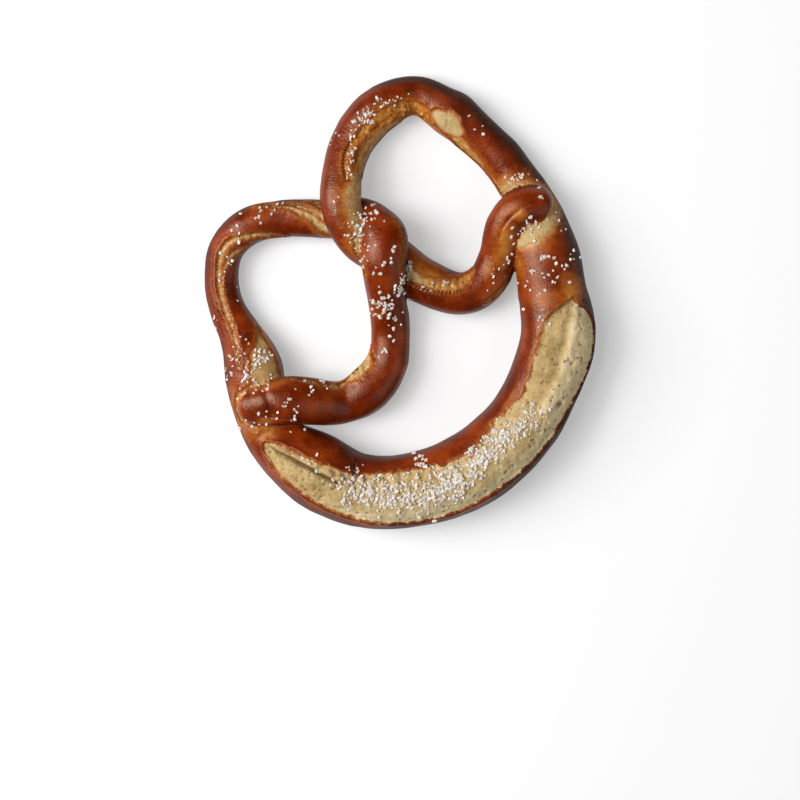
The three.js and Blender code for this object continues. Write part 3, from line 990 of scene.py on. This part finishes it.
def pull_corners(mesh, amount):
    for vertex in mesh.vertices:
        vertex.co += Vector([salt_source.uniform(-amount, amount) for _ in range(3)])


def make_lump():
    bpy.ops.mesh.primitive_cube_add(size=1)
    lump = bpy.context.object
    pull_corners(lump.data, CORNER_PULL)
    bpy.ops.object.mode_set(mode="EDIT")
    bpy.ops.mesh.select_all(action="SELECT")
    bpy.ops.mesh.bevel(offset=BEVEL)
    bpy.ops.mesh.quads_convert_to_tris()
    bpy.ops.mesh.normals_make_consistent()
    bpy.ops.object.mode_set(mode="OBJECT")
    pull_corners(lump.data, FACET_PULL)
    corners = [vertex.co.copy() for vertex in lump.data.vertices]
    faces = sorted(tuple(face.vertices) for face in lump.data.polygons)
    bpy.data.objects.remove(lump)
    return corners, faces


lumps = [make_lump() for _ in range(LUMPS)]
print("a lump has", len(lumps[0][1]), "faces")

# %% [markdown]
# Salt isn't sprinkled evenly: it falls in handfuls, and gathers in the hollows. Each handful
# is a line from one place to another, as seen from above, with its half width, how many
# lumps are in it and how large they are. The lumps lie closest along its middle.

# %% Where the salt lies
HANDFULS = [
    # from x, y, to x, y, half width, lumps, size
    (-31, -112, -5, -117, 12, 125, 1.15), (-5, -117, 20, -115, 12, 90, 1.15),
    (20, -115, 36, -107, 10, 105, 1.15), (36, -107, 52, -93, 9, 125, 1.15),
    (52, -93, 66, -77, 9, 105, 1.15), (66, -77, 86, -64, 8, 60, 1.1),
    (-31, -113, 20, -116, 9, 160, 0.7), (20, -115, 84, -66, 9, 190, 0.7),
    (-34, -100, -8, -106, 6, 14, 1), (2, -104, 22, -106, 6, 10, 1), (12, -94, 20, -99, 4, 22, 1),
    (-60, -92, -38, -104, 5, 12, 0.9), (-20, 120, -5, 127, 5, 18, 0.8),
    (-26, 112, -14, 118, 5, 30, 1), (-30, 82, -28, 104, 3, 30, 0.85),
    (-2, 126, 10, 132, 3, 5, 0.8), (66, 79, 78, 81, 3, 18, 0.85), (70, 44, 84, 52, 5, 26, 0.9),
    (83, 20, 90, 32, 4, 9, 1.1), (93, 16, 110, 36, 9, 20, 1), (78, 18, 90, -10, 6, 14, 1.1),
    (-26, 46, -15, 60, 6, 40, 1), (-28, 41, -24, 46, 4, 16, 0.9), (-21, 28, -17, 42, 4, 10, 1),
    (-14, 20, -9, 26, 4, 5, 1.2), (-16, -4, 2, 9, 7, 26, 1.15), (0, 12, 8, 27, 3, 34, 1),
    (13, 11, 31, 16, 4, 10, 1), (58, 14, 69, 32, 4, 12, 0.9), (-102, 42, -96, 58, 5, 4, 1),
    (-88, 54, -74, 64, 5, 12, 1), (-112, 20, -102, 36, 5, 9, 1), (-114, -8, -104, 8, 6, 8, 0.8),
    (-93, -42, -84, -28, 5, 60, 0.9), (-108, -44, -98, -24, 6, 26, 0.8),
    (-94, -56, -78, -42, 6, 16, 1), (-74, -62, -62, -48, 4, 6, 1.1),
    (-66, -72, -48, -36, 10, 16, 1), (-92, -76, -80, -64, 5, 12, 1),
    (-26, -20, -10, 8, 8, 14, 1.1), (-8, -28, 2, -2, 6, 14, 1.1), (84, 78, 88, 68, 2, 4, 1),
    (92, 60, 104, 48, 6, 5, 1), (44, 118, 50, 108, 4, 4, 0.9), (-40, 58, -36, 76, 3, 3, 1.2),
    (-6, 52, -22, 60, 6, 7, 1), (-8, 26, 2, 36, 5, 5, 1), (-44, 100, -36, 106, 3, 4, 0.8),
    (-12, 0, 4, 20, 6, 12, 1),
]
LUMP_HALF, SUNK = 0.34, 0.2  # half a lump's height, and how deep it sits, over its size
DROP_HEIGHT = 80
STEEPEST = 0.25  # least upward part of the normal where a lump can lie
TRIES = 4  # for each lump of a handful
OVERRUN, SCATTER = 0.08, 0.48  # past a handful's ends, and over its half width
LEAST_SIZE, SIZE_RANGE, SIZE_BIAS = 1.05, 1.3, 1.5
WIDTHS, HEIGHTS = (0.65, 0.95), (0.55, 0.80)  # of a lump, over its length


def drop_point(surface, x, y):
    hit, normal, _, _ = surface.ray_cast(Vector((x, y, DROP_HEIGHT)) * MM, Vector((0, 0, -1)))
    if hit is None or normal.z < STEEPEST:
        return None
    return hit, normal


def lump_corners(hit, normal, size):
    spin = Vector([salt_source.gauss(0, 1) for _ in range(3)]).normalized()
    turned = spin.to_track_quat("Z", "Y").to_matrix()
    stretch = Vector((size, size * salt_source.uniform(*WIDTHS),
                      size * salt_source.uniform(*HEIGHTS)))
    shape, sides = lumps[salt_source.randrange(LUMPS)]
    centre = hit + normal * size * (LUMP_HALF - SUNK)
    return [centre + turned @ (corner * stretch) for corner in shape], sides


def scatter_salt():
    surface = BVHTree.FromPolygons([v.co for v in pretzel.data.vertices],
                                   [tuple(p.vertices) for p in pretzel.data.polygons])
    corners, faces = [], []
    for x0, y0, x1, y1, spread, count, grade in HANDFULS:
        made = 0
        for _ in range(count * TRIES):
            if made == count:
                break
            along = salt_source.uniform(-OVERRUN, 1 + OVERRUN)
            x = x0 + (x1 - x0) * along + salt_source.gauss(0, spread * SCATTER)
            y = y0 + (y1 - y0) * along + salt_source.gauss(0, spread * SCATTER)
            found = drop_point(surface, x, y)
            if found is None:
                continue
            made += 1
            size = grade * (LEAST_SIZE + SIZE_RANGE * salt_source.random() ** SIZE_BIAS) * MM
            lump, sides = lump_corners(*found, size)
            first = len(corners)
            corners += lump
            faces += [tuple(first + k for k in side) for side in sides]
    return corners, faces


corners, faces = scatter_salt()
salt_mesh = bpy.data.meshes.new("salt")
salt_mesh.from_pydata([tuple(c) for c in corners], [], faces)
salt = bpy.data.objects.new("salt", salt_mesh)
bpy.context.scene.collection.objects.link(salt)
print("lumps of salt:", len(faces) // len(lumps[0][1]))

# %% [markdown]
# Salt lumps are milky: clear at their edges and white inside from the cracks of pressing.
# A little of the light passes into them, and their facets glint.

# %% Salt's finish
milky = Nodes("milky_salt")
salt_place = milky.add("TexCoord").outputs["Object"]
cloudy = milky.noise(salt_place, 450, 3, 0.6)
white = milky.ramp(cloudy, (0.3, 226, 210, 194), (0.6, 250, 243, 234))
salt_bump = milky.add("Bump", Strength=0.3, Distance=0.0003,
                      Height=milky.noise(salt_place, 2200, 3, 0.6))
grain = milky.add("BsdfPrincipled", Base_Color=white, Normal=salt_bump.outputs[0],
                  Roughness=0.28, IOR=1.54, Transmission_Weight=0.25)
milky.add("OutputMaterial", grain.outputs[0])
salt.data.materials.append(milky.material)
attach(salt, "root")
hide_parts("pretzel")

# %% [markdown]
# ## Floor, light and camera
# The pretzel lies on a plain pale floor that glows a little, like a light table, so that the
# shadows stay open. One soft lamp hangs high to the left and another stands lower on that
# side, like a window: together they leave broad sheens on the top and the left of the rope.
# A weak lamp on the right and a dim world fill the rest.

# %% Floor and light
FLOOR_SIZE = 16.0  # metres, so that its edge stays out of every view
bpy.ops.mesh.primitive_plane_add(size=FLOOR_SIZE)
floor = bpy.context.object
floor.name = "floor"
floor_paint = Nodes("pale_floor")
matt = floor_paint.add("BsdfPrincipled", Base_Color=(0.6, 0.6, 0.6, 1), Roughness=0.9,
                       Emission_Color=(1, 1, 1, 1), Emission_Strength=0.36)
floor_paint.add("OutputMaterial", matt.outputs[0])
floor.data.materials.append(floor_paint.material)

MIDDLE = Vector((0, 0, 0.02))
LAMPS = [
    # name, place, width in metres, watts
    ("top_lamp", (-1.3, 0.35, 2.2), 1.6, 38),
    ("window_lamp", (-2, 0.4, 1.6), 1.6, 65),
    ("fill_lamp", (1.9, -0.9, 1.6), 2.2, 15),
]
for name, at, width, watts in LAMPS:
    bpy.ops.object.light_add(type="AREA", location=at)
    lamp = bpy.context.object
    lamp.name = name
    lamp.data.size = width
    lamp.data.energy = watts
    lamp.rotation_euler = (MIDDLE - Vector(at)).to_track_quat("-Z", "Y").to_euler()
print("lamps:", [name for name, *_ in LAMPS])
world = bpy.data.worlds.new("studio")
bpy.context.scene.world = world
world.use_nodes = True
background = world.node_tree.nodes["Background"]
background.inputs["Color"].default_value = (1, 1, 1, 1)
background.inputs["Strength"].default_value = 0.05
bpy.context.scene.view_settings.view_transform = "Standard"

# %% [markdown]
# The camera looks down on the pretzel, tipped eight degrees, from a little over a metre.

# %% Camera
TILT = math.radians(8)
TARGET = Vector((1.1, -58.6, 18.0)) * MM
DISTANCE = 1.209
LENS = 87.1
back = Vector((0, math.sin(TILT), math.cos(TILT))) * DISTANCE
bpy.ops.object.camera_add(location=TARGET + back)
camera = bpy.context.object
camera.rotation_euler = (-TILT, 0, 0)
camera.data.lens = LENS
camera.data.sensor_width = 36.0
bpy.context.scene.camera = camera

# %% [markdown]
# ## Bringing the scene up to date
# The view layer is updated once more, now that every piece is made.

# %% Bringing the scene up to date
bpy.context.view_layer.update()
